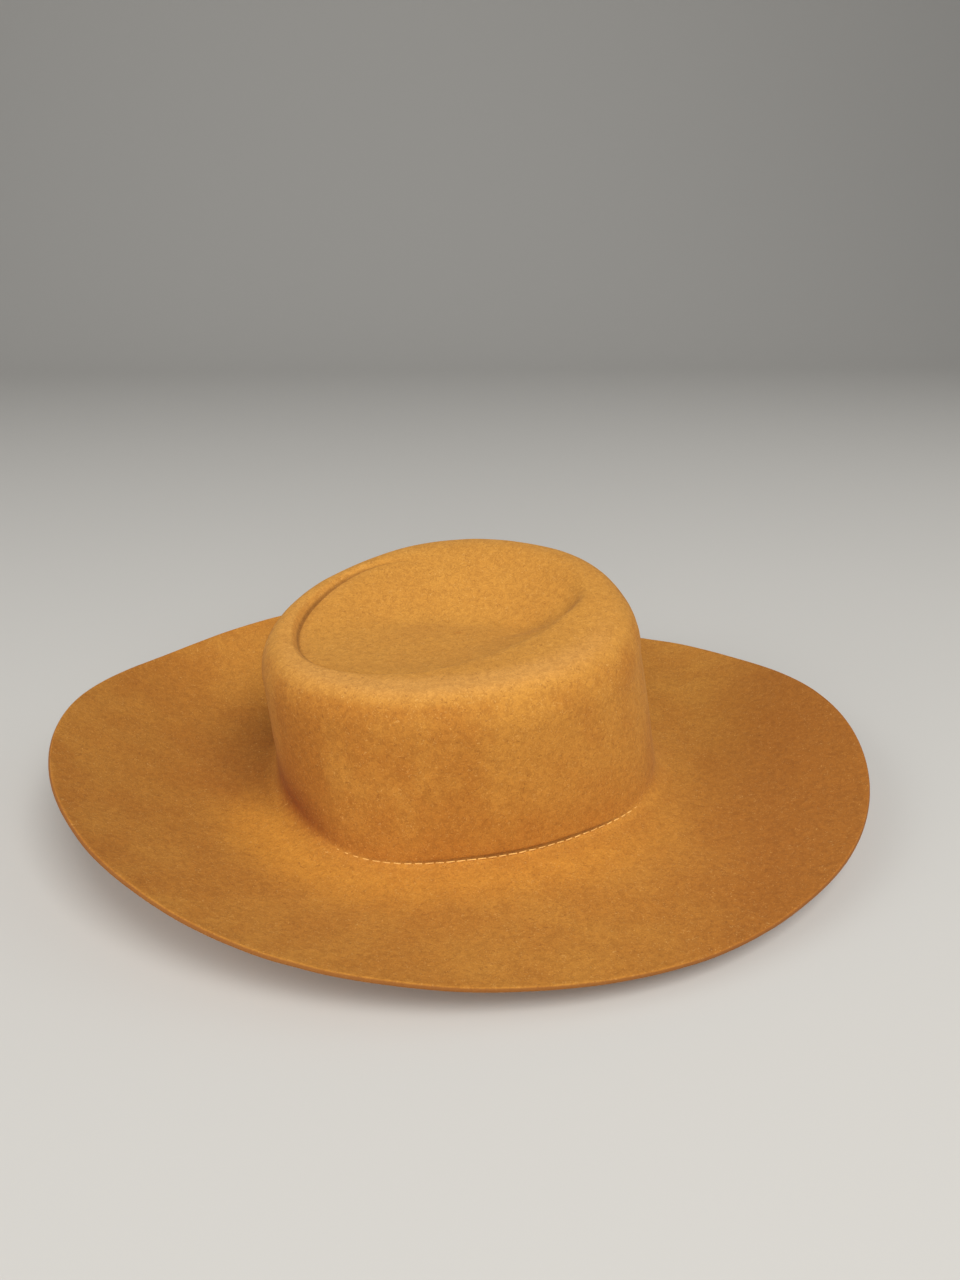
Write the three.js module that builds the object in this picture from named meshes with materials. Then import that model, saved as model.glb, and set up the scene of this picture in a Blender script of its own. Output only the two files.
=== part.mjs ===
// A wide-brim felt hat lying on a table, as it rests by itself.
// Millimetres, +Z up, +X the front of the hat, +Y the wearer's left.
// The origin is on the table, under the middle of the hat's outline.
import * as THREE from 'three';

// Driving dimensions, all in millimetres
const headLength = 206; // crown's outside at the brim break, front to back
const headWidth = 179; // the same, side to side
const feltThickness = 2.2;
const flatRing = 9; // width of the ring of brim that lies flat on the table
const brimCurve = 1.5; // power of the brim's rise: 1 is straight, more is later
const wallCurve = 1.15; // power of the wall's lean inward with height
const dentCentre = { x: 2, y: 4 };
const dentFloor = 78; // height of the dent's lowest point on the outside
const bandHeight = 30;
const bandThickness = 1;
const bandGap = 0.3; // clearance between sweatband and felt
const bandFoot = 1.5; // height of the sweatband's lower edge above the table

// Steps of the mesh along one meridian of the hat, and round it
const stepsRound = 80;
const brimSteps = 7;
const breakSteps = 3;
const wallSteps = 4;
const shoulderSteps = 4;
const lipSteps = 2;
const foldSteps = 3;
const floorSteps = 5;
const bandSteps = 4;

// Brim and foot of the crown, by direction in degrees from the front, turning towards the
// left side. base: how far the crown's foot stands outside the head oval; width: brim from
// the oval to its cut edge; lift: height of the edge above flat
const brimRows = [
  { at: 0, base: 3.5, width: 114, lift: 25 },
  { at: 30, base: 1.5, width: 105, lift: 13 },
  { at: 60, base: 0.5, width: 90, lift: 8 },
  { at: 90, base: 0, width: 81, lift: 25 },
  { at: 120, base: 0.5, width: 86, lift: 33 },
  { at: 150, base: 2, width: 98, lift: 30 },
  { at: 180, base: -6, width: 107, lift: 42 },
  { at: 210, base: -4.5, width: 103, lift: 37 },
  { at: 240, base: 4.4, width: 94, lift: 23 },
  { at: 270, base: -1.6, width: 90, lift: 13 },
  { at: 300, base: -1.7, width: 98, lift: 11 },
  { at: 330, base: 5, width: 110, lift: 19 },
];

// Crown wall and ridge, by direction.
// breakRadius: outside bend between brim and wall; wallIn: how far the wall leans in;
// ridge: height of the crest; shoulderIn, shoulderDown: size of the roll from wall to crest
const crownRows = [
  { at: 0, breakRadius: 14, wallIn: 8, ridge: 100, shoulderIn: 18.5, shoulderDown: 22.5 },
  { at: 45, breakRadius: 9, wallIn: 5, ridge: 106.5, shoulderIn: 14.5, shoulderDown: 16.5 },
  { at: 90, breakRadius: 5, wallIn: 4, ridge: 105, shoulderIn: 10, shoulderDown: 14 },
  { at: 135, breakRadius: 6, wallIn: 5, ridge: 94.5, shoulderIn: 10.5, shoulderDown: 15 },
  { at: 180, breakRadius: 9, wallIn: 3, ridge: 84.5, shoulderIn: 12, shoulderDown: 16.5 },
  { at: 225, breakRadius: 6, wallIn: 0.5, ridge: 83.5, shoulderIn: 11, shoulderDown: 17.5 },
  { at: 270, breakRadius: 3, wallIn: 2, ridge: 86.5, shoulderIn: 14.5, shoulderDown: 20 },
  { at: 315, breakRadius: 5, wallIn: 4.5, ridge: 91.5, shoulderIn: 15, shoulderDown: 22 },
];

// Dent in the top, by direction, measured inward from the crest.
// lip: width of the ridge up to the crease that edges the dent; foldDrop, foldWidth: depth
// and width of that crease; slope: from the lip to the foot of the hollow's side
const dentRows = [
  { at: 0, lip: 8, foldDrop: 7, foldWidth: 13, slope: 38 },
  { at: 30, lip: 5, foldDrop: 6, foldWidth: 20, slope: 53 },
  { at: 60, lip: 3, foldDrop: 3, foldWidth: 22, slope: 59 },
  { at: 90, lip: 3, foldDrop: 1, foldWidth: 20, slope: 61 },
  { at: 120, lip: 1.5, foldDrop: 1.5, foldWidth: 5, slope: 60 },
  { at: 150, lip: 2, foldDrop: 3.5, foldWidth: 4, slope: 56 },
  { at: 180, lip: 3, foldDrop: 4, foldWidth: 4.5, slope: 53 },
  { at: 210, lip: 5.5, foldDrop: 2.5, foldWidth: 7, slope: 48 },
  { at: 240, lip: 14.5, foldDrop: 3.5, foldWidth: 8, slope: 40 },
  { at: 270, lip: 25, foldDrop: 5, foldWidth: 9, slope: 36 },
  { at: 300, lip: 30, foldDrop: 5.5, foldWidth: 9, slope: 34 },
  { at: 330, lip: 24.5, foldDrop: 7, foldWidth: 10, slope: 36 },
];
const hollowStart = 0.8; // the hollow begins at this share of the lip

const up = new THREE.Vector3(0, 0, 1);

// Value of one column in any direction: a smooth closed curve through the rows
function around(rows, column, degrees) {
  const place = (degrees / 360) * rows.length;
  const first = Math.floor(place);
  const row = (step) => rows[(first + step + rows.length) % rows.length][column];
  const u = place - first;
  const slopeStart = (row(1) - row(-1)) / 2;
  const slopeEnd = (row(2) - row(0)) / 2;
  return row(0) * (2 * u ** 3 - 3 * u ** 2 + 1) + slopeStart * (u ** 3 - 2 * u ** 2 + u)
    + row(1) * (3 * u ** 2 - 2 * u ** 3) + slopeEnd * (u ** 3 - u ** 2);
}

// Everything that the tables say about one direction, with the head oval's point there
function sideAt(degrees) {
  const side = {};
  for (const rows of [brimRows, crownRows, dentRows]) {
    for (const column of Object.keys(rows[0]).filter((name) => name !== 'at')) {
      side[column] = around(rows, column, degrees);
    }
  }
  const turn = THREE.MathUtils.degToRad(degrees);
  const [cosine, sine] = [Math.cos(turn), Math.sin(turn)];
  side.oval = new THREE.Vector3(headLength / 2 * cosine, headWidth / 2 * sine, 0);
  side.outward = new THREE.Vector3(headWidth * cosine, headLength * sine, 0).normalize();
  return side;
}

// A station is a point on the hat's outside with the direction that leads away from the felt.
// out: distance outside the head oval; lean: turn of that direction from up towards outward
function station(side, out, height, lean) {
  const point = side.oval.clone().addScaledVector(side.outward, out).addScaledVector(up, height);
  const away = up.clone().multiplyScalar(Math.cos(lean)).addScaledVector(side.outward, Math.sin(lean));
  return { point, away };
}

function brimStations(side) {
  const start = side.base + side.breakRadius + flatRing;
  const span = Math.sqrt(side.width ** 2 - side.lift ** 2) - start;
  const stations = [];
  for (let step = 0; step < brimSteps; step++) {
    const s = 1 - step / brimSteps;
    const height = feltThickness + side.lift * s ** brimCurve;
    const slope = side.lift * brimCurve * s ** (brimCurve - 1) / span;
    stations.push(station(side, start + span * s, height, -Math.atan(slope)));
  }
  stations.push(station(side, start, feltThickness, 0));
  return stations;
}

function breakStations(side) {
  const stations = [];
  for (let step = 0; step <= breakSteps; step++) {
    const lean = (Math.PI / 2) * (step / breakSteps);
    const out = side.base + side.breakRadius * (1 - Math.sin(lean));
    const height = feltThickness + side.breakRadius * (1 - Math.cos(lean));
    stations.push(station(side, out, height, lean));
  }
  return stations;
}

// The wall between the break and the shoulder: how far outside the oval it stands at a height
function wallOut(side, height) {
  const foot = feltThickness + side.breakRadius;
  const share = THREE.MathUtils.clamp((height - foot) / (side.ridge - side.shoulderDown - foot), 0, 1);
  return side.base * (1 - share) - side.wallIn * share ** wallCurve;
}

function wallStations(side) {
  const foot = feltThickness + side.breakRadius;
  const top = side.ridge - side.shoulderDown;
  const stations = [];
  for (let step = 1; step <= wallSteps; step++) {
    const height = foot + (top - foot) * (step / wallSteps);
    stations.push(station(side, wallOut(side, height), height, Math.PI / 2));
  }
  return stations;
}

function shoulderStations(side) {
  const stations = [];
  for (let step = 1; step <= shoulderSteps; step++) {
    const turn = (Math.PI / 2) * (step / shoulderSteps);
    const out = -side.wallIn - side.shoulderIn * (1 - Math.cos(turn));
    const height = side.ridge - side.shoulderDown * (1 - Math.sin(turn));
    stations.push(station(side, out, height, Math.PI / 2 - turn));
  }
  return stations;
}

// From the crest inward: the lip, the fold, and the hollow that runs down to the dent's floor
function topStations(side) {
  const crest = station(side, -side.wallIn - side.shoulderIn, side.ridge, 0).point;
  const centre = new THREE.Vector3(dentCentre.x, dentCentre.y, dentFloor);
  const flatLength = centre.clone().sub(crest).setZ(0).length();
  const foldEnd = side.lip + side.foldWidth;
  const distances = [];
  for (let step = 1; step <= lipSteps; step++) {
    distances.push(side.lip * (step / lipSteps));
  }
  for (let step = 1; step <= foldSteps; step++) {
    distances.push(side.lip + side.foldWidth * (step / foldSteps));
  }
  for (let step = 1; step < floorSteps; step++) {
    distances.push(foldEnd + (flatLength - foldEnd) * (step / floorSteps));
  }
  const hollowDrop = side.ridge - side.foldDrop - dentFloor;
  return distances.map((inward) => {
    const point = crest.clone().lerp(centre, inward / flatLength);
    const fold = THREE.MathUtils.smoothstep(inward, side.lip, foldEnd);
    const hollow = THREE.MathUtils.smoothstep(inward, hollowStart * side.lip, side.lip + side.slope);
    point.z = side.ridge - side.foldDrop * fold - hollowDrop * hollow;
    return { point, away: up };
  });
}

// Joins rings of points, each once round the hat, into one closed body. With poles, the first
// and last rings close on a point; without, the last ring joins the first.
function closedSkin(rings, poles) {
  const round = rings[0].length;
  const points = rings.flat();
  const index = [];
  const vertex = (ring, step) => (ring % rings.length) * round + (step % round);
  const bands = poles ? rings.length - 1 : rings.length;
  for (let ring = 0; ring < bands; ring++) {
    for (let step = 0; step < round; step++) {
      index.push(vertex(ring, step), vertex(ring + 1, step), vertex(ring + 1, step + 1));
      index.push(vertex(ring, step), vertex(ring + 1, step + 1), vertex(ring, step + 1));
    }
  }
  if (poles) {
    const first = points.push(poles[0]) - 1;
    const last = points.push(poles[1]) - 1;
    for (let step = 0; step < round; step++) {
      index.push(first, vertex(0, step), vertex(0, step + 1));
      index.push(last, vertex(rings.length - 1, step + 1), vertex(rings.length - 1, step));
    }
  }
  const geometry = new THREE.BufferGeometry().setFromPoints(points);
  geometry.setIndex(index);
  geometry.computeVertexNormals();
  return geometry;
}

const sides = Array.from({ length: stepsRound }, (_, step) => sideAt((360 * step) / stepsRound));

// Crown and brim are one piece of felt: the outside from the dent to the cut edge,
// then the inside back to the dent
function feltGeometry() {
  const meridians = sides.map((side) => [
    ...topStations(side).reverse(),
    ...shoulderStations(side).reverse(),
    ...wallStations(side).reverse(),
    ...breakStations(side).reverse(),
    ...brimStations(side).reverse(),
  ]);
  const outside = meridians[0].map((_, ring) => meridians.map((stations) => stations[ring].point));
  const inside = meridians[0].map((_, ring) => meridians.map((stations) => (
    stations[ring].point.clone().addScaledVector(stations[ring].away, -feltThickness)
  )));
  const outerPole = new THREE.Vector3(dentCentre.x, dentCentre.y, dentFloor);
  const innerPole = outerPole.clone().addScaledVector(up, -feltThickness);
  return closedSkin([...outside, ...inside.reverse()], [outerPole, innerPole]);
}

// The sweatband stands against the inside of the crown wall, from just above the table
function sweatbandGeometry() {
  const bandRing = (height, depth) => sides.map((side) => (
    station(side, wallOut(side, height) - depth, height, 0).point
  ));
  const heights = Array.from({ length: bandSteps + 1 }, (_, step) => (
    bandFoot + bandHeight * (step / bandSteps)
  ));
  const outerDepth = feltThickness + bandGap;
  const outside = heights.map((height) => bandRing(height, outerDepth));
  const inside = heights.map((height) => bandRing(height, outerDepth + bandThickness));
  return closedSkin([...outside.reverse(), ...inside], null);
}

const felt = new THREE.Mesh(
  feltGeometry(),
  new THREE.MeshStandardMaterial({ color: 0xb87a34, roughness: 0.95, metalness: 0 }),
);
felt.name = 'felt_body';

const sweatband = new THREE.Mesh(
  sweatbandGeometry(),
  new THREE.MeshStandardMaterial({ color: 0x9c6427, roughness: 0.85, metalness: 0 }),
);
sweatband.name = 'sweatband';

const hat = new THREE.Group();
hat.add(felt, sweatband);

// Stands the outline's middle on the origin
const outline = new THREE.Box3().setFromObject(hat, true);
const middle = outline.getCenter(new THREE.Vector3());
hat.position.set(-middle.x, -middle.y, 0);
hat.updateMatrixWorld(true);

export default hat;
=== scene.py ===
# Wide-brim felt hat lying on a table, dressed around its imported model.
# Metres, +Z up, +X the front of the hat, +Y the wearer's left.
import bpy
import math
from mathutils import Matrix, Vector, noise


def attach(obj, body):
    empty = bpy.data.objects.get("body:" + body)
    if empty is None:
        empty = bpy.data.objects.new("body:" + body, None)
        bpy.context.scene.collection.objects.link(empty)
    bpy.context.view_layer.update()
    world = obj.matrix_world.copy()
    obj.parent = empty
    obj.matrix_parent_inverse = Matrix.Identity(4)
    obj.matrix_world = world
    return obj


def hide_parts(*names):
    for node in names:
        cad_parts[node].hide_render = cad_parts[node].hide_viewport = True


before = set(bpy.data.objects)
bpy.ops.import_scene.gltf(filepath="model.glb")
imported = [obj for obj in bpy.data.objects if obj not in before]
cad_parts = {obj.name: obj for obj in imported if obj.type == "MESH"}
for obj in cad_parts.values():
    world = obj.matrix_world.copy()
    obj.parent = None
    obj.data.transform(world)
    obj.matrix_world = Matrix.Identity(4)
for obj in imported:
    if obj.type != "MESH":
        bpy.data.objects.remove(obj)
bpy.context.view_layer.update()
mm = 0.001


# One wrapper for all nodes: expressions on wires add their maths nodes
class Wire:
    def __init__(self, tree, socket=None):
        self.tree = tree
        self.socket = socket

    # kind of node, then its settings, then what goes into its sockets, by name or number
    def node(self, kind, settings=None, sockets=None, outlet=0):
        made = self.tree.nodes.new(kind)
        for name, value in (settings or {}).items():
            if name == "stops":
                ramp = made.color_ramp
                while len(ramp.elements) < len(value):
                    ramp.elements.new(0.5)
                for element, (position, colour) in zip(ramp.elements, value):
                    element.position = position
                    element.color = colour
            else:
                setattr(made, name, value)
        for name, value in (sockets or {}).items():
            if isinstance(value, Wire):
                self.tree.links.new(value.socket, made.inputs[name])
            else:
                made.inputs[name].default_value = value
        return Wire(self.tree, made.outputs[outlet] if made.outputs else None)

    def maths(self, operation, first, second):
        return self.node("ShaderNodeMath", {"operation": operation}, {0: first, 1: second})

    def __add__(self, other):
        return self.maths("ADD", self, other)

    def __radd__(self, other):
        return self.maths("ADD", other, self)

    def __sub__(self, other):
        return self.maths("SUBTRACT", self, other)

    def __rsub__(self, other):
        return self.maths("SUBTRACT", other, self)

    def __mul__(self, other):
        return self.maths("MULTIPLY", self, other)

    def __rmul__(self, other):
        return self.maths("MULTIPLY", other, self)

    # 0 below low, 1 above high, smooth between
    def rise(self, low, high):
        return self.node(
            "ShaderNodeMapRange",
            {"interpolation_type": "SMOOTHSTEP"},
            {"Value": self, "From Min": low, "From Max": high},
        )

    def blend(self, factor, first, second):
        return self.node(
            "ShaderNodeMix",
            {"data_type": "RGBA"},
            {"Factor": factor, 6: first, 7: second},
            outlet=2,
        )

    def noise(self, coords, scale, detail=2.0, roughness=0.5, distortion=0.0):
        return self.node(
            "ShaderNodeTexNoise",
            None,
            {
                "Vector": coords, "Scale": scale, "Detail": detail,
                "Roughness": roughness, "Distortion": distortion,
            },
        )

    # a number kept on the mesh under this name
    def mark(self, name):
        return self.node("ShaderNodeAttribute", {"attribute_name": name}, None, "Fac")

    def bump(self, height, strength, distance, under=None):
        sockets = {"Height": height, "Strength": strength, "Distance": distance}
        if under:
            sockets["Normal"] = under
        return self.node("ShaderNodeBump", None, sockets)


def newMaterial(name):
    material = bpy.data.materials.new(name)
    material.use_nodes = True
    material.node_tree.nodes.clear()
    return material, Wire(material.node_tree)


def finishMaterial(wire, sockets):
    surface = wire.node("ShaderNodeBsdfPrincipled", None, sockets)
    wire.node("ShaderNodeOutputMaterial", None, {"Surface": surface})


def sRgb(red, green, blue):
    def linear(value):
        value = value / 255
        return value / 12.92 if value <= 0.04045 else ((value + 0.055) / 1.055) ** 2.4
    return (linear(red), linear(green), linear(blue), 1.0)


# Shape of the hat: the model's tables with sharper folds near the dent, in millimetres
shape = {
    "headLength": 206,
    "headWidth": 179,
    "feltThickness": 2.2,
    "flatRing": 9,  # ring of brim that lies flat on the table
    "brimCurve": 1.5,
    "wallCurve": 1.15,
    "headCentre": (-6.203, 5.294),  # the head oval's middle on the table
    "dentCentre": (2, 4),
    "dentFloor": 78,
    "hollowStart": 0.8,  # share of the lip where the dent starts to sink
    "creaseShare": 0.85,  # share of the fold where its sharp line lies
    "creaseWidth": 1.1,
    "bandHeight": 30,
    "bandGap": 0.3,
    "bandFoot": 1.5,
}

# each column goes round the hat from the front towards the left side, at even steps
columns = {
    "width": (114, 105, 90, 81, 86, 98, 107, 103, 94, 90, 98, 110),
    "lift": (25, 13, 8, 25, 33, 30, 42, 37, 23, 13, 11, 19),
    "base": (3.5, 1.5, 0.5, 0, 0.5, 2, -6, -4.5, 4.4, -1.6, -1.7, 5),
    "breakRadius": (14, 9, 5, 6, 9, 6, 3, 5),
    "wallIn": (8, 5, 4, 5, 3, 0.5, 2, 4.5),
    "ridge": (100, 106.5, 105, 94.5, 84.5, 83.5, 86.5, 91.5),
    "shoulderIn": (18.5, 14.5, 10, 10.5, 12, 11, 14.5, 15),
    "shoulderDown": (22.5, 16.5, 14, 15, 16.5, 17.5, 20, 22),
    "lip": (8, 5, 3, 3, 1.5, 2, 3, 5.5, 14.5, 25, 30, 24.5),
    "foldDrop": (7, 6, 3, 1, 1.5, 3.5, 4, 2.5, 3.5, 5, 5.5, 7),
    "foldWidth": (13, 20, 22, 20, 5, 3.6, 4, 5, 5, 6, 7.5, 9),
    "slope": (38, 53, 59, 61, 60, 56, 53, 48, 40, 36, 34, 36),
    "sunk": (1, 0.9, 0.8, 0.8, 0.8, 0.9, 1, 1.1, 0.5, 0, -0.05, 0.8),
    "crease": (0.4, 0, 0, 0, 0.6, 0.9, 0.8, 0.4, 0.5, 0.5, 0.6, 0.7),
    # painted shade at the crown's foot, by direction
    "footShade": (0.25, 0.2, 0.2, 0.2, 0.25, 0.5, 0.9, 1.25, 0.2, -0.1, 0, 0.1),
    # painted highlight along the ridge, by direction
    "rub": (0.1, 0.1, 0.3, 0.3, 0.3, 0.4, 0.5, 0.7, 1, 1, 0.9, 0.4),
    # painted shadow of the crown on the brim, by direction
    "hollow": (0.2, 0, 0, 0, 0.1, 0.9, 1.1, 0.1, 0, 0, 0, 0.1),
    # painted light on the brim beside the seam, by direction
    "pale": (0, 0, 0, 0, 0, 0, 0.1, 1.1, 0.7, 0.65, 0.65, 0.2),
}

headCentre = Vector((*shape["headCentre"], 0)) * mm
up = Vector((0, 0, 1))
dentMiddle = Vector((*shape["dentCentre"], shape["dentFloor"]))


def around(values, degrees):
    place = degrees / 360 * len(values)
    first = math.floor(place)
    u = place - first
    before, start, end, after = (values[(first + k) % len(values)] for k in (-1, 0, 1, 2))
    startSlope = (end - before) / 2
    endSlope = (after - start) / 2
    return (
        start * (2 * u**3 - 3 * u**2 + 1) + startSlope * (u**3 - 2 * u**2 + u)
        + end * (3 * u**2 - 2 * u**3) + endSlope * (u**3 - u**2)
    )


def smooth(value, low, high):
    u = min(max((value - low) / (high - low), 0), 1)
    return u * u * (3 - 2 * u)


def sideAt(degrees):
    side = {name: around(values, degrees) for name, values in columns.items()}
    turn = math.radians(degrees)
    long, wide = shape["headLength"], shape["headWidth"]
    side["oval"] = Vector((long / 2 * math.cos(turn), wide / 2 * math.sin(turn), 0))
    side["outward"] = Vector((wide * math.cos(turn), long * math.sin(turn), 0)).normalized()
    side["foot"] = shape["feltThickness"] + side["breakRadius"]
    side["wallTop"] = side["ridge"] - side["shoulderDown"]
    side["flatOut"] = side["base"] + side["breakRadius"] + shape["flatRing"]
    side["span"] = math.sqrt(side["width"] ** 2 - side["lift"] ** 2) - side["flatOut"]
    side["crest"] = shoulderStation(side, math.pi / 2)[0]
    side["toMiddle"] = (dentMiddle - side["crest"]).to_2d().length
    return side


# a point of the outside, and the direction that leads away from the felt there
def station(side, out, height, lean):
    point = side["oval"] + side["outward"] * out + up * height
    return point, up * math.cos(lean) + side["outward"] * math.sin(lean)


def brimStation(side, s):
    rise = side["lift"] * s ** shape["brimCurve"]
    slope = side["lift"] * shape["brimCurve"] * s ** (shape["brimCurve"] - 1) / side["span"]
    out = side["flatOut"] + side["span"] * s
    return station(side, out, shape["feltThickness"] + rise, -math.atan(slope))


def breakStation(side, lean):
    radius = side["breakRadius"]
    height = shape["feltThickness"] + radius * (1 - math.cos(lean))
    return station(side, side["base"] + radius * (1 - math.sin(lean)), height, lean)


def wallOut(side, height):
    share = min(max((height - side["foot"]) / (side["wallTop"] - side["foot"]), 0), 1)
    return side["base"] * (1 - share) - side["wallIn"] * share ** shape["wallCurve"]


def wallStation(side, height):
    return station(side, wallOut(side, height), height, math.pi / 2)


def shoulderStation(side, turn):
    out = -side["wallIn"] - side["shoulderIn"] * (1 - math.cos(turn))
    height = side["ridge"] - side["shoulderDown"] * (1 - math.sin(turn))
    return station(side, out, height, math.pi / 2 - turn)


# inward: level distance from the crest towards the middle of the dent
def topStation(side, inward):
    fold = smooth(inward, side["lip"], side["lip"] + side["foldWidth"])
    sink = smooth(inward, shape["hollowStart"] * side["lip"], side["lip"] + side["slope"])
    point = side["crest"].lerp(dentMiddle, inward / side["toMiddle"])
    drop = side["ridge"] - side["foldDrop"] - shape["dentFloor"]
    point.z = side["ridge"] - side["foldDrop"] * fold - drop * sink
    point.z -= creaseAt(side, inward)
    return point, up.copy()


# depth of the sharp line pressed in at the foot of the fold
def creaseAt(side, inward):
    past = inward - side["lip"] - shape["creaseShare"] * side["foldWidth"]
    return max(side["crease"], 0) * math.exp(-((past / shape["creaseWidth"]) ** 2))


def steps(count, first=0):
    return [k / count for k in range(first, count + 1)]


# plain mesh object from rings of points, closed on a point at either end
def skin(name, rings, poles, values):
    count = len(rings[0])
    points = [point for ring in rings for point in ring] + poles
    lastRing = (len(rings) - 1) * count
    first, last = len(points) - 2, len(points) - 1
    faces = []
    for near in range(0, lastRing, count):
        far = near + count
        for k in range(count):
            after = (k + 1) % count
            faces.append((near + k, far + k, far + after, near + after))
    for k in range(count):
        after = (k + 1) % count
        faces.append((first, k, after))
        faces.append((last, lastRing + after, lastRing + k))
    mesh = bpy.data.meshes.new(name)
    mesh.from_pydata([point * mm + headCentre for point in points], [], faces)
    for title, numbers in values.items():
        layer = mesh.attributes.new(title, "FLOAT", "POINT")
        layer.data.foreach_set("value", numbers + [0.0] * (len(points) - len(numbers)))
    mesh.shade_smooth()
    piece = bpy.data.objects.new(name, mesh)
    bpy.context.scene.collection.objects.link(piece)
    return piece


# Felt: crown and brim in one skin, with a rounded cut edge and a pressed seam line
feltParts = {
    "round": 320,
    "brimSteps": 36,
    "breakSteps": 12,
    "wallSteps": 26,
    "shoulderSteps": 12,
    "lipSteps": 9,
    "foldSteps": 10,
    "floorSteps": 16,
    "foldReach": 1.25,  # the fine steps go this share of the fold's width past the lip
    "wallSpread": 1.7,  # the wall's steps are closer near its foot
    "insideSkip": 2,  # the inside takes every second ring
    "edgeRound": 0.75,  # how far the cut edge bulges, in mm
    "edgeFullness": 0.6,  # the lower, the squarer the edge
    "edgeShadeSpread": 1.5,  # rings beside the edge that share its painted shade
    "edgeSteps": 8,
    "seamLean": math.radians(52),  # where the stitches sit on the bend, from flat
    "grooveAbove": 0.7,  # from the stitches up to the groove
    "grooveWidth": 0.95,
    "grooveDepth": 0.6,
    "grooveLeast": 0.1,  # share of the depth where the thread has sunk in
    "waveSize": 34,  # soft unevenness of blocked felt, in mm
    "waveHeight": 0.35,
    "waveDetail": 0.4,  # size and height of the finer part
    "waveFromFoot": 12,  # full height this far up the wall
    "waveOnBrim": (0.05, 0.35),  # and between these shares of the brim
    "footReach": 7,  # how far the painted shade in the bend reaches out from the wall's foot
    "footClimb": 14,  # and up the wall
    "hollowReach": 30,  # and, fainter, as painted shadow of the crown over the hollow of the brim
    "hollowShare": 0.5,
    "topLightTurn": (0.45, 1.35),  # the shoulder turns to the painted light of the top between these turns
    "ridgeHighlightMiddle": 2,  # the painted highlight on the ridge is strongest here, measured inward from the crest
    "ridgeHighlightReach": 11,
    "brimLightMiddle": 12,  # painted light lies on the brim in a ring this far out from the crown's foot
    "brimLightReach": 20,
}


# soft unevenness, none where the felt lies on the table
def wave(point, calm):
    size, detail = feltParts["waveSize"], feltParts["waveDetail"]
    high = noise.noise(point / size) + detail * noise.noise(point / (detail * size))
    return feltParts["waveHeight"] * high * calm


def grooveAt(side, along):
    middle = feltParts["seamLean"] * side["breakRadius"] + feltParts["grooveAbove"]
    pressed = max(1 - side["sunk"], feltParts["grooveLeast"])
    return pressed * math.exp(-(((along - middle) / feltParts["grooveWidth"]) ** 2))


# share of the painted shade at the crown's foot, fading with distance from it
def footAt(side, distance, reach):
    return side["footShade"] * math.exp(-((distance / reach) ** 2))


# share of the painted highlight on the ridge
def ridgeHighlightAt(side, inward):
    past = (inward - feltParts["ridgeHighlightMiddle"]) / feltParts["ridgeHighlightReach"]
    return side["rub"] * math.exp(-(past**2))


# painted light on the brim beside the seam; out: distance from the foot of the bend along the brim
def brimLightAt(side, out):
    past = (out - feltParts["brimLightMiddle"]) / feltParts["brimLightReach"]
    return side["pale"] * math.exp(-(past**2))


# one place on the outside. calm: share of the unevenness; groove: depth pressed in;
# the other five: share of the painted shade in a pressed line, of the painted shade at the crown's
# foot, of the painted light on the top, of the painted highlight on the ridge and of the painted
# light on the brim beside the seam
def spot(place, calm, groove=0, line=0, foot=0, top=0, rub=0, pale=0):
    point, away = place
    return {
        "point": point, "away": away, "calm": calm, "groove": groove * feltParts["grooveDepth"],
        "line": line, "foot": foot, "top": top, "rub": rub, "pale": pale,
    }


# the outside from the dent to the edge
def meridian(side):
    made = []
    foldEnd = side["lip"] + feltParts["foldReach"] * side["foldWidth"]
    inward = [side["lip"] * u for u in steps(feltParts["lipSteps"], 1)]
    inward += [side["lip"] + (foldEnd - side["lip"]) * u for u in steps(feltParts["foldSteps"], 1)]
    inward += [
        foldEnd + (side["toMiddle"] - foldEnd) * u for u in steps(feltParts["floorSteps"], 1)[:-1]
    ]
    for distance in reversed(inward):
        made.append(spot(
            topStation(side, distance), 1,
            line=creaseAt(side, distance), top=1, rub=ridgeHighlightAt(side, distance),
        ))
    roll = (side["shoulderIn"] + side["shoulderDown"]) / 2
    for u in reversed(steps(feltParts["shoulderSteps"])):
        turn = u * math.pi / 2
        rub = ridgeHighlightAt(side, -roll * (math.pi / 2 - turn))
        top = smooth(turn, *feltParts["topLightTurn"])
        made.append(spot(shoulderStation(side, turn), 1, top=top, rub=rub))
    rise = side["wallTop"] - side["foot"]
    bend = side["breakRadius"] * math.pi / 2
    for u in reversed(steps(feltParts["wallSteps"], 1)[:-1]):
        above = rise * u ** feltParts["wallSpread"]
        groove = grooveAt(side, bend + above)
        made.append(spot(
            wallStation(side, side["foot"] + above), smooth(above, 0, feltParts["waveFromFoot"]),
            groove, groove, footAt(side, above, feltParts["footClimb"]),
        ))
    for u in reversed(steps(feltParts["breakSteps"])):
        groove = grooveAt(side, bend * u)
        made.append(spot(
            breakStation(side, u * math.pi / 2), 0,
            groove, groove, max(
                footAt(side, bend * (1 - u), feltParts["footReach"]),
                side["hollow"] * feltParts["hollowShare"] * (1 - u),
            ),
            pale=brimLightAt(side, -bend * u),
        ))
    for u in steps(feltParts["brimSteps"]):
        # painted shadow of the crown, fading out over the brim
        hollow = side["hollow"] * math.exp(-((side["span"] * u / feltParts["hollowReach"]) ** 2))
        made.append(spot(
            brimStation(side, u), smooth(u, *feltParts["waveOnBrim"]),
            foot=hollow * feltParts["hollowShare"],
            pale=brimLightAt(side, shape["flatRing"] + side["span"] * u),
        ))
    return made


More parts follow.
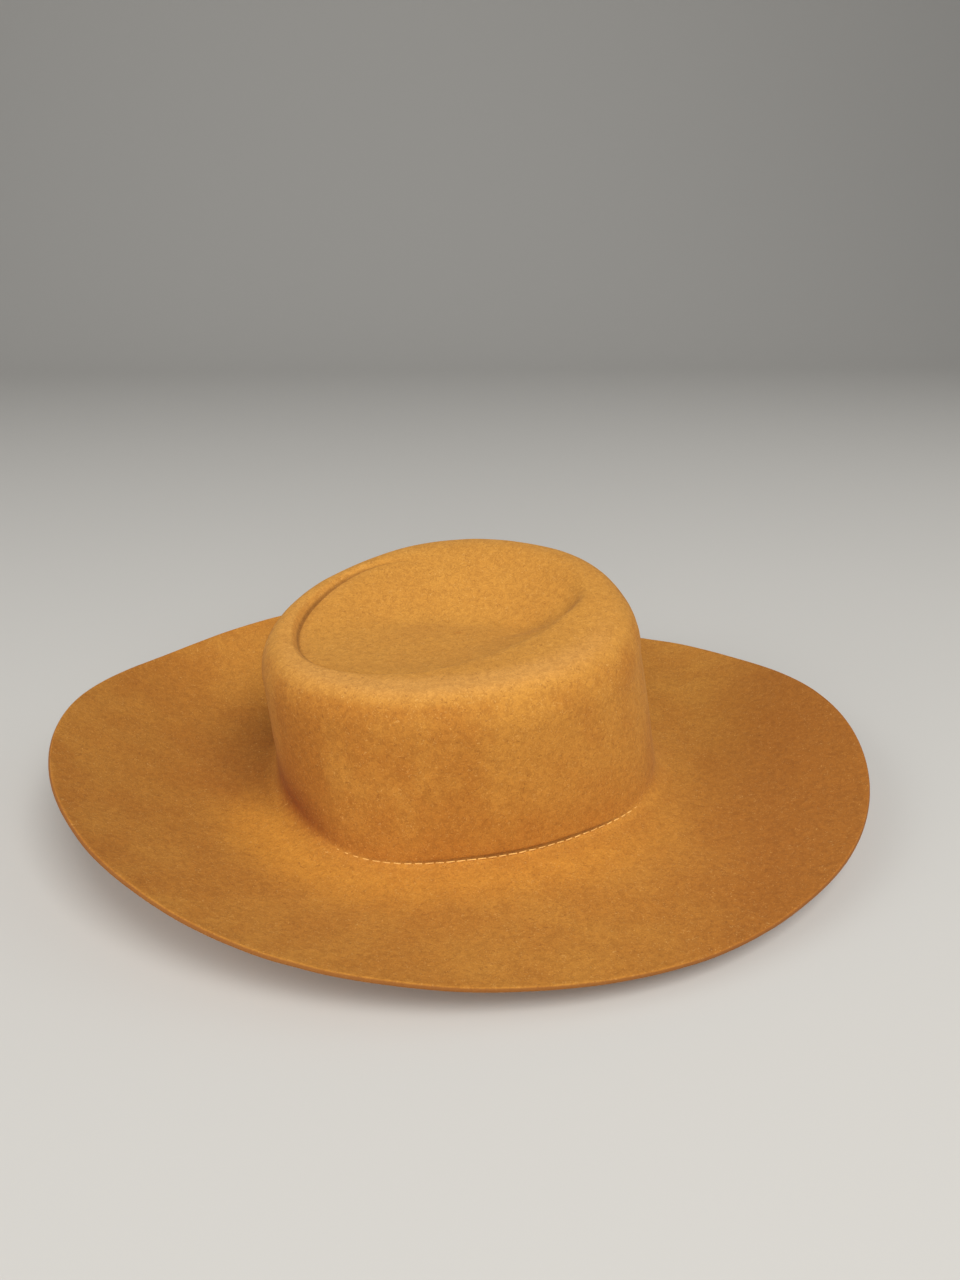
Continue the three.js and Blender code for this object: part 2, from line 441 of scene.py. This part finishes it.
def makeFelt():
    sides = [sideAt(360 * k / feltParts["round"]) for k in range(feltParts["round"])]
    lines = [meridian(side) for side in sides]
    thick = shape["feltThickness"]
    outside, inside = [], []
    marks = {"line": [], "foot": [], "top": [], "rub": [], "pale": []}
    for ring in range(len(lines[0])):
        spots = [line[ring] for line in lines]
        lifted = [s["point"] + s["away"] * wave(s["point"], s["calm"]) for s in spots]
        outside.append([point - s["away"] * s["groove"] for point, s in zip(lifted, spots)])
        if ring % feltParts["insideSkip"] == 0:
            inside.append([point - s["away"] * thick for point, s in zip(lifted, spots)])
        for mark, numbers in marks.items():
            numbers += [s[mark] for s in spots]
    # the last ring is the cut edge: it is drawn back, and a rounded rim is laid round it
    edge = []
    for line in lines:
        outward = (line[-1]["point"] - line[-2]["point"]).normalized()
        edge.append((outward, line[-1]["away"]))
    rims = []
    for step in range(1, feltParts["edgeSteps"]):
        turn = math.pi * step / feltParts["edgeSteps"]
        bulge = feltParts["edgeRound"] * math.sin(turn) ** feltParts["edgeFullness"]
        depth = thick / 2 * (1 - math.cos(turn))
        ring = []
        for k, (outward, away) in enumerate(edge):
            ring.append(outside[-1][k] + outward * (bulge - feltParts["edgeRound"]) - away * depth)
        rims.append(ring)
    for k, (outward, _) in enumerate(edge):
        outside[-1][k] = outside[-1][k] - outward * feltParts["edgeRound"]
    lastInside = [outside[-1][k] - away * thick for k, (_, away) in enumerate(edge)]
    if (len(lines[0]) - 1) % feltParts["insideSkip"] == 0:
        inside[-1] = lastInside
    else:
        inside.append(lastInside)
    rings = [*outside, *rims, *reversed(inside)]
    count = feltParts["round"]
    edgeShade = []
    for place in range(len(rings)):
        fromEdge = place - len(outside) - len(rims) / 2
        reach = len(rims) / 2 + feltParts["edgeShadeSpread"]
        edgeShade += [max(0.0, 1 - abs(fromEdge) / reach)] * count
    poles = [dentMiddle.copy(), dentMiddle - up * thick]
    return skin("felt", rings, poles, {"cutEdge": edgeShade, **marks})


felt = makeFelt()
print("felt: triangles", sum(len(p.vertices) - 2 for p in felt.data.polygons))

feltLook = {
    "ochre": sRgb(199, 138, 56),
    "rust": sRgb(181, 116, 42),
    "paintedTopLight": sRgb(203, 143, 60),
    "paintedRidgeHighlight": sRgb(222, 160, 82),
    "paintedBrimLight": sRgb(222, 152, 54),
    "front": sRgb(166, 101, 36),
    "paintedShade": sRgb(140, 70, 20),
    "fleck": sRgb(118, 66, 24),
    # painted shade in the seam's groove and the dent's crease
    "line": sRgb(92, 48, 16),
    "speck": sRgb(228, 175, 100),
    # painted shade on the cut edge
    "cutEdge": sRgb(128, 76, 34),
    "frontFrom": 0.11,  # painted shade makes the brim darker and redder towards its front, and a little at its back
    "frontTo": 0.185,
    "frontSlant": 0.5,  # sooner on its right side than on its left
    "evenBelow": 0.012,  # the brim is more even in tone than the crown
    "unevenAbove": 0.04,
    "unevenShare": (0.4, 0.35),  # on the brim, and how much more on the crown
    # how strongly each colour covers
    "frontShare": 0.85,
    "backShadeShare": 0.3,
    "paintedTopLightShare": 0.75,
    "paintedRidgeHighlightShare": 0.6,
    "paintedBrimLightShare": 0.55,
    "paintedShadeShare": 0.7,
    "grainShare": 0.72,
    "fleckShare": 0.4,
    "speckShare": 0.36,
    "pressedShadeShare": 0.6,
    "cutEdgeShare": 0.8,
    # each pattern: waves per metre, detail, roughness, distortion
    "clouds": (14, 2, 0.5, 0),
    "patches": (60, 3, 0.55, 0),
    "bands": (36, 2, 0.5, 0),
    "bandStretch": (1, 1, 0.25),  # the bands run up the crown
    "tangle": (360, 4, 0.7, 0.8),
    "nap": (1300, 3, 0.65, 0.6),
    "flecks": (560, 2, 0.5, 1.5),
    "specks": (640, 2, 0.5, 2.2),
    # strength and depth in metres of each relief
    "softRelief": (0.15, 0.0012),
    "hairRelief": (0.4, 0.0006),
    "napRelief": (0.4, 0.0003),
}


def feltMaterial():
    material, wire = newMaterial("feltNap")
    look = feltLook
    coords = wire.node("ShaderNodeTexCoord", None, None, "Object")
    clouds = wire.noise(coords, *look["clouds"])
    patches = wire.noise(coords, *look["patches"])
    upright = wire.node(
        "ShaderNodeVectorMath", {"operation": "MULTIPLY"}, {0: coords, 1: look["bandStretch"]}
    )
    bands = wire.noise(upright, *look["bands"])
    tangle = wire.noise(coords, *look["tangle"])
    nap = wire.noise(coords, *look["nap"])
    flecks = wire.noise(coords, *look["flecks"])
    specks = wire.noise(coords, *look["specks"])
    forward = wire.node("ShaderNodeSeparateXYZ", None, {"Vector": coords}, "X")
    left = wire.node("ShaderNodeSeparateXYZ", None, {"Vector": coords}, "Y")
    height = wire.node("ShaderNodeSeparateXYZ", None, {"Vector": coords}, "Z")

    # two tones in soft patches and bands, and painted shade on the brim's front and back
    onCrown = height.rise(look["evenBelow"], look["unevenAbove"])
    onBrim, more = look["unevenShare"]
    uneven = (clouds * 0.25 + patches * 0.35 + bands * 0.4).rise(0.4, 0.6) - 0.5
    share = uneven * (onCrown * more + onBrim) + 0.5
    colour = wire.blend(share, look["rust"], look["ochre"])
    ahead = (forward - left * look["frontSlant"]).rise(look["frontFrom"], look["frontTo"])
    behind = (0 - forward).rise(look["frontFrom"], look["frontTo"])
    brimShade = ahead * look["frontShare"] + behind * look["backShadeShare"]
    colour = wire.blend(brimShade, colour, look["front"])

    # painted light on the top, the ridge and the brim, and painted shade at the crown's foot, with
    # ragged borders
    ragged = patches - 0.5
    paintedTopLight = (wire.mark("top") + ragged * 0.5).rise(0.1, 0.9)
    colour = wire.blend(paintedTopLight * look["paintedTopLightShare"], colour, look["paintedTopLight"])
    paintedRidgeHighlight = (wire.mark("rub") + ragged * 0.5).rise(0.1, 1)
    colour = wire.blend(paintedRidgeHighlight * look["paintedRidgeHighlightShare"], colour, look["paintedRidgeHighlight"])
    paintedBrimLight = (wire.mark("pale") + ragged * 0.4).rise(0.1, 1)
    colour = wire.blend(paintedBrimLight * look["paintedBrimLightShare"], colour, look["paintedBrimLight"])
    # painted shade at the crown's foot and, fainter, over the brim's hollow
    colour = wire.blend(wire.mark("foot") * look["paintedShadeShare"], colour, look["paintedShade"])

    # tangled hairs
    shade = (tangle * 0.6 + nap * 0.4).rise(0.35, 0.65)
    grain = wire.node(
        "ShaderNodeValToRGB",
        {"stops": [(0, (0.62, 0.56, 0.48, 1)), (1, (1.0, 1.0, 1.0, 1))]},
        {"Fac": shade},
    )
    colour = wire.node(
        "ShaderNodeMix",
        {"data_type": "RGBA", "blend_type": "MULTIPLY"},
        {"Factor": look["grainShare"], 6: colour, 7: grain},
        outlet=2,
    )
    colour = wire.blend(flecks.rise(0.62, 0.71) * look["fleckShare"], colour, look["fleck"])
    colour = wire.blend(specks.rise(0.61, 0.71) * look["speckShare"], colour, look["speck"])

    # painted shade in the pressed lines and on the cut edge
    pressed = wire.mark("line").rise(0.2, 0.95)
    colour = wire.blend(pressed * look["pressedShadeShare"], colour, look["line"])
    cut = wire.mark("cutEdge").rise(0.25, 0.8)
    colour = wire.blend(cut * look["cutEdgeShare"], colour, look["cutEdge"])
    soft = wire.bump(patches, *look["softRelief"])
    hairs = wire.bump(tangle, *look["hairRelief"], soft)
    finishMaterial(wire, {
        "Base Color": colour,
        "Roughness": 0.86 + shade * 0.1,
        "Normal": wire.bump(nap, *look["napRelief"], hairs),
        "Specular IOR Level": 0.22,
        "Sheen Weight": 0.14,
        "Sheen Roughness": 0.45,
        "Sheen Tint": sRgb(240, 190, 125),
    })
    return material


felt.data.materials.append(feltMaterial())
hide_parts("felt_body")
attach(felt, "root")
print("felt: material done")

# Sweatband: a ribbed ribbon inside the crown, its ends lapped at the back
ribbon = {
    "columns": 420,
    "lap": 16,  # how far the ends overlap, in mm
    "lapReach": 2.2,  # the upper end starts to rise this many laps before its end
    "lapStep": 0.98,  # the end on top stands this much further in
    "thickness": 0.85,
    "edgeBulge": 0.1,
    "outerBulge": 0.5,  # the side against the felt bulges this share of that
    # height from the lower edge and how much the woven edge bulges there
    "section": ((0, -0.3), (0.3, 0.8), (0.8, 1), (1.4, 0.6), (2, 0), (7, 0), (15, 0), (23, 0),
                (28, 0), (28.6, 0.6), (29.2, 1), (29.7, 0.8), (30, -0.3)),
    "middle": 6,  # the section's point halfway up
    "rib": 0.85,  # from rib to rib, in mm
    # each pattern: waves per metre, detail, roughness
    "wobble": (60, 2, 0.5),
    "yarn": (900, 3, 0.6),
    "soil": (25, 3, 0.5),
    "colour": sRgb(176, 116, 48),
    "valleyShadeAndSoil": sRgb(120, 70, 24),
}

lapTurn = math.degrees(ribbon["lap"] / (shape["headWidth"] / 2))


# how far the ribbon stands in where its second end lies on the first
def lappedAt(degrees):
    end = 180 + lapTurn / 2
    if degrees > end:
        return 0
    return ribbon["lapStep"] * smooth(degrees, end - ribbon["lapReach"] * lapTurn, end - lapTurn)


def ribbonPoint(side, height, depth):
    out = wallOut(side, height) - shape["feltThickness"] - shape["bandGap"] - depth
    return station(side, out, height, 0)[0]


def makeRibbon():
    first, last = 180 - lapTurn / 2, 540 + lapTurn / 2
    middle = ribbon["middle"]
    columnPoints, along, walked = [], [], 0
    for k in range(ribbon["columns"] + 1):
        degrees = first + (last - first) * k / ribbon["columns"]
        side = sideAt(degrees % 360)
        lapped = lappedAt(degrees - 360)
        loop = []
        for inner in (False, True):
            section = reversed(ribbon["section"]) if inner else ribbon["section"]
            for above, bulge in section:
                depth = ribbon["thickness"] + ribbon["edgeBulge"] * bulge if inner else (
                    -ribbon["edgeBulge"] * bulge * ribbon["outerBulge"]
                )
                loop.append(ribbonPoint(side, shape["bandFoot"] + above, lapped + depth))
        if columnPoints:
            walked += (loop[middle] - columnPoints[-1][middle]).length
        columnPoints.append(loop)
        along += [walked * mm] * len(loop)
    return run("sweatbandRibbon", columnPoints, {"along": along}), walked


# plain mesh object from loops of points, closed with a flat cap at either end
def run(name, loops, values):
    count = len(loops[0])
    faces = []
    for k in range(len(loops) - 1):
        near, far = k * count, (k + 1) * count
        for j in range(count):
            after = (j + 1) % count
            faces.append((near + j, far + j, far + after, near + after))
    half = count // 2
    base = (len(loops) - 1) * count
    for j in range(half - 1):
        across = count - 1 - j
        faces.append((j, j + 1, across - 1, across))
        faces.append((base + j + 1, base + j, base + across, base + across - 1))
    mesh = bpy.data.meshes.new(name)
    mesh.from_pydata([point * mm + headCentre for loop in loops for point in loop], [], faces)
    for title, numbers in values.items():
        mesh.attributes.new(title, "FLOAT", "POINT").data.foreach_set("value", numbers)
    mesh.shade_smooth()
    piece = bpy.data.objects.new(name, mesh)
    bpy.context.scene.collection.objects.link(piece)
    return piece


def ribbonMaterial():
    material, wire = newMaterial("ribbedRibbon")
    coords = wire.node("ShaderNodeTexCoord", None, None, "Object")
    along = wire.mark("along")
    wobble = wire.noise(coords, *ribbon["wobble"]) * 0.5
    ribs = wire.node(
        "ShaderNodeMath", {"operation": "SINE"},
        {0: along * (2 * math.pi / (ribbon["rib"] * mm)) + wobble},
    )
    crown = ribs * 0.5 + 0.5
    yarn = wire.noise(coords, *ribbon["yarn"])
    soil = wire.noise(coords, *ribbon["soil"]).rise(0.35, 0.7)
    # painted shade in the valleys between the ribs; soil takes the same darker colour
    colour = wire.blend(crown * 0.7 + yarn * 0.3, ribbon["valleyShadeAndSoil"], ribbon["colour"])
    colour = wire.blend(soil * 0.25, colour, ribbon["valleyShadeAndSoil"])
    bump = wire.bump(crown, 0.7, 0.0002)
    finishMaterial(wire, {
        "Base Color": colour,
        "Roughness": 0.62 + yarn * 0.2,
        "Normal": wire.bump(yarn, 0.3, 0.0001, bump),
        "Specular IOR Level": 0.35,
        "Sheen Weight": 0.2,
        "Sheen Roughness": 0.4,
    })
    return material


sweatband, ribbonLength = makeRibbon()
sweatband.data.materials.append(ribbonMaterial())
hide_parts("sweatband")
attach(sweatband, "root")
print("sweatband: ribbon", round(ribbonLength), "mm long")

# Stitches: one thread line round the foot of the crown, and where it comes through the ribbon
stitching = {
    "pitch": 5.0,
    "length": 3.7,
    "thread": 0.72,
    "rise": 0.32,
    "bow": 2.2,  # height of the bend's handle, in rises
    "lift": 0.05,  # how far the thread stands off the cloth
    "sides": 6,
    "bends": 6,
    "jitter": 0.12,
    "turn": 0.05,
    "seed": 11,
    "sizeSeed": 7,  # added to the seed for the stitches' lengths
    "pathSteps": 480,
    "colour": sRgb(244, 190, 104),
    "shade": sRgb(206, 146, 68),
}


# a closed line of points, each with the direction that leads away from the cloth
def makePath(name, points, aways):
    mesh = bpy.data.meshes.new(name)
    count = len(points)
    edges = [(k, (k + 1) % count) for k in range(count)]
    mesh.from_pydata([point * mm + headCentre for point in points], edges, [])
    layer = mesh.attributes.new("away", "FLOAT_VECTOR", "POINT")
    layer.data.foreach_set("vector", [value for away in aways for value in away])
    path = bpy.data.objects.new(name, mesh)
    bpy.context.scene.collection.objects.link(path)
    return path


def stitchTree():
    tree = bpy.data.node_groups.new("stitchesAlongPath", "GeometryNodeTree")
    tree.interface.new_socket("Geometry", in_out="INPUT", socket_type="NodeSocketGeometry")
    for name in ("Pitch", "Length", "Thread", "Rise", "Jitter", "Turn"):
        tree.interface.new_socket(name, in_out="INPUT", socket_type="NodeSocketFloat")
    tree.interface.new_socket("Seed", in_out="INPUT", socket_type="NodeSocketInt")
    tree.interface.new_socket("Material", in_out="INPUT", socket_type="NodeSocketMaterial")
    tree.interface.new_socket("Geometry", in_out="OUTPUT", socket_type="NodeSocketGeometry")
    wire = Wire(tree)
    given = tree.nodes.new("NodeGroupInput")

    def value(name):
        return Wire(tree, given.outputs[name])

    # one stitch: a bent strand whose ends dip under the surface
    reach = value("Length") * 0.5
    start = wire.node("ShaderNodeCombineXYZ", None, {"X": 0 - reach, "Z": 0 - value("Rise")})
    bend = wire.node("ShaderNodeCombineXYZ", None, {"Z": value("Rise") * stitching["bow"]})
    end = wire.node("ShaderNodeCombineXYZ", None, {"X": reach, "Z": 0 - value("Rise")})
    strand = wire.node(
        "GeometryNodeCurveQuadraticBezier", None,
        {"Resolution": stitching["bends"], "Start": start, "Middle": bend, "End": end},
    )
    profile = wire.node(
        "GeometryNodeCurvePrimitiveCircle", None,
        {"Resolution": stitching["sides"], "Radius": value("Thread") * 0.5},
    )
    stitch = wire.node(
        "GeometryNodeCurveToMesh", None,
        {"Curve": strand, "Profile Curve": profile, "Fill Caps": True},
    )
    # evenly along the path, standing on it
    line = wire.node("GeometryNodeMeshToCurve", None, {"Mesh": value("Geometry")})
    places = wire.node(
        "GeometryNodeResampleCurve", {"mode": "LENGTH"}, {"Curve": line, "Length": value("Pitch")}
    )
    away = wire.node(
        "GeometryNodeInputNamedAttribute", {"data_type": "FLOAT_VECTOR"}, {"Name": "away"}
    )
    tangent = wire.node("GeometryNodeInputTangent")
    facing = wire.node(
        "FunctionNodeAxesToRotation", {"primary_axis": "Z", "secondary_axis": "X"},
        {"Primary Axis": away, "Secondary Axis": tangent},
    )
    turn = wire.node(
        "FunctionNodeRandomValue", {"data_type": "FLOAT"},
        {2: 0 - value("Turn"), 3: value("Turn"), "Seed": value("Seed")}, outlet=1,
    )
    turned = wire.node(
        "FunctionNodeRotateRotation", {"rotation_space": "LOCAL"},
        {"Rotation": facing, "Rotate By": wire.node("ShaderNodeCombineXYZ", None, {"Z": turn})},
    )
    sizeSeed = value("Seed") + stitching["sizeSeed"]
    size = wire.node(
        "FunctionNodeRandomValue", {"data_type": "FLOAT"},
        {2: 1 - value("Jitter"), 3: 1 + value("Jitter"), "Seed": sizeSeed}, outlet=1,
    )
    placed = wire.node(
        "GeometryNodeInstanceOnPoints", None,
        {
            "Points": places, "Instance": stitch, "Rotation": turned,
            "Scale": wire.node("ShaderNodeCombineXYZ", None, {"X": size, "Y": 1.0, "Z": 1.0}),
        },
    )
    real = wire.node("GeometryNodeRealizeInstances", None, {"Geometry": placed})
    smoothed = wire.node("GeometryNodeSetShadeSmooth", None, {"Geometry": real})
    dressed = wire.node(
        "GeometryNodeSetMaterial", None, {"Geometry": smoothed, "Material": value("Material")}
    )
    leaving = tree.nodes.new("NodeGroupOutput")
    tree.links.new(dressed.socket, leaving.inputs["Geometry"])
    return tree


# runs a tree on an object and leaves one plain mesh in its place
def baked(path, tree, inputs):
    modifier = path.modifiers.new("made", "NODES")
    modifier.node_group = tree
    for item in tree.interface.items_tree:
        if item.item_type == "SOCKET" and item.in_out == "INPUT" and item.name in inputs:
            modifier[item.identifier] = inputs[item.name]
    graph = bpy.context.evaluated_depsgraph_get()
    mesh = bpy.data.meshes.new_from_object(path.evaluated_get(graph), depsgraph=graph)
    path.modifiers.clear()
    plain = bpy.data.objects.new(path.name + "Made", mesh)
    name = path.name
    bpy.data.objects.remove(path)
    plain.name = name
    mesh.name = name
    bpy.context.scene.collection.objects.link(plain)
    return plain


def threadMaterial():
    material, wire = newMaterial("sewingThread")
    coords = wire.node("ShaderNodeTexCoord", None, None, "Object")
    tone = wire.noise(coords, 120, 2).rise(0.35, 0.65)
    twist = wire.noise(coords, 2600, 2, 0.5, 0.8)
    share = twist.rise(0.35, 0.65) * 0.5 + tone * 0.5
    colour = wire.blend(share, stitching["shade"], stitching["colour"])
    finishMaterial(wire, {
        "Base Color": colour,
        "Roughness": 0.5 + twist * 0.2,
        "Normal": wire.bump(twist, 0.6, 0.0002),
        "Specular IOR Level": 0.4,
    })
    return material


def makeStitches():
    thread = threadMaterial()
    tree = stitchTree()
    outerPoints, outerAways, innerPoints, innerAways = [], [], [], []
    for k in range(stitching["pathSteps"]):
        degrees = 360 * k / stitching["pathSteps"]
        side = sideAt(degrees)
        point, away = breakStation(side, feltParts["seamLean"])
        sunk = side["sunk"]
        outerPoints.append(point + away * (stitching["lift"] - sunk))
        outerAways.append(away)
        depth = lappedAt(degrees) + ribbon["thickness"] - stitching["lift"]
        innerPoints.append(ribbonPoint(side, point.z, depth))
        innerAways.append(-side["outward"])
    inputs = {
        "Pitch": stitching["pitch"] * mm, "Length": stitching["length"] * mm,
        "Thread": stitching["thread"] * mm, "Rise": stitching["rise"] * mm,
        "Jitter": stitching["jitter"], "Turn": stitching["turn"], "Seed": stitching["seed"],
        "Material": thread,
    }
    for name, points, aways in (
        ("crownStitches", outerPoints, outerAways), ("bandStitches", innerPoints, innerAways)
    ):
        piece = baked(makePath(name, points, aways), tree, inputs)
        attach(piece, "root")
        print(name + ": triangles", sum(len(p.vertices) - 2 for p in piece.data.polygons))


makeStitches()

# Stage, light and camera
stage = {
    "floorWide": 12.0,
    "floorNear": -4.0,  # the pale sheet lies flat from here
    "floorFar": 1.6,  # to here, then bends up behind the hat
    "floorBend": 1.4,  # radius of the bend
    "floorBendSteps": 24,
    "floorTop": 5.0,
    "floorColour": sRgb(196, 193, 187),
    "world": (0.95, 0.97, 1.0, 1.0),
    "worldStrength": 0.28,
    "lightsAim": 0.05,  # height over the table that they point at
    "lights": {
        # place, size, power
        "rightFrontLight": ((0.45, -0.95, 1.7), 1.1, 26.5),
        "leftLight": ((-1.4, -0.4, 1.0), 1.1, 9.5),
        "rightLight": ((1.5, 0.0, 1.0), 1.1, 3),
        "lowFrontLight": ((-0.2, -1.9, 0.85), 1.1, 16.5),
    },
}


# a plain sheet that lies on the table and rises behind the hat
def makeFloor():
    radius, far = stage["floorBend"], stage["floorFar"]
    profile = [(stage["floorNear"], 0)]
    for u in steps(stage["floorBendSteps"]):
        turn = u * math.pi / 2
        profile.append((far + radius * math.sin(turn), radius * (1 - math.cos(turn))))
    profile.append((far + radius, stage["floorTop"]))
    half = stage["floorWide"] / 2
    corners = [(x, y, z) for y, z in profile for x in (-half, half)]
    faces = [(2 * k, 2 * k + 1, 2 * k + 3, 2 * k + 2) for k in range(len(profile) - 1)]
    mesh = bpy.data.meshes.new("floor")
    mesh.from_pydata(corners, [], faces)
    mesh.shade_smooth()
    floor = bpy.data.objects.new("floor", mesh)
    bpy.context.scene.collection.objects.link(floor)
    material, wire = newMaterial("paleFloor")
    coords = wire.node("ShaderNodeTexCoord", None, None, "Object")
    haze = wire.noise(coords, 3, 2)
    finishMaterial(wire, {
        "Base Color": stage["floorColour"],
        "Roughness": 0.6 + haze * 0.15,
        "Specular IOR Level": 0.3,
    })
    floor.data.materials.append(material)


def makeLight(name, place, size, power):
    data = bpy.data.lights.new(name, "AREA")
    data.shape = "SQUARE"
    data.size = size
    data.energy = power
    light = bpy.data.objects.new(name, data)
    light.location = place
    ahead = Vector((0, 0, stage["lightsAim"])) - Vector(place)
    light.rotation_euler = ahead.to_track_quat("-Z", "Y").to_euler()
    bpy.context.scene.collection.objects.link(light)


makeFloor()
for name, (place, size, power) in stage["lights"].items():
    makeLight(name, place, size, power)
world = bpy.data.worlds.new("studio")
world.use_nodes = True
world.node_tree.nodes["Background"].inputs["Color"].default_value = stage["world"]
world.node_tree.nodes["Background"].inputs["Strength"].default_value = stage["worldStrength"]
bpy.context.scene.world = world
bpy.context.scene.view_settings.view_transform = "Standard"

photoCamera = {
    "place": (-0.0505, -0.4160, 0.2669),
    "heading": 7.6,  # degrees from +Y towards +X
    "pitch": 24.3,  # looks down
    "roll": 0.65,
    "lens": 25.03,
    "sensor": 36.0,
}


def makeCamera():
    heading, pitch, roll = (math.radians(photoCamera[k]) for k in ("heading", "pitch", "roll"))
    ahead = Vector((math.sin(heading), math.cos(heading), 0)) * math.cos(pitch) - up * math.sin(pitch)
    right = Vector((math.cos(heading), -math.sin(heading), 0))
    above = right.cross(ahead)
    right, above = (
        right * math.cos(roll) + above * math.sin(roll),
        above * math.cos(roll) - right * math.sin(roll),
    )
    data = bpy.data.cameras.new("camera")
    data.lens = photoCamera["lens"]
    data.sensor_width = photoCamera["sensor"]
    data.clip_start = 0.01
    camera = bpy.data.objects.new("camera", data)
    camera.matrix_world = Matrix.Translation(photoCamera["place"]) @ Matrix(
        (right, above, -ahead)
    ).transposed().to_4x4()
    bpy.context.scene.collection.objects.link(camera)
    bpy.context.scene.camera = camera


makeCamera()

print("scene: done")
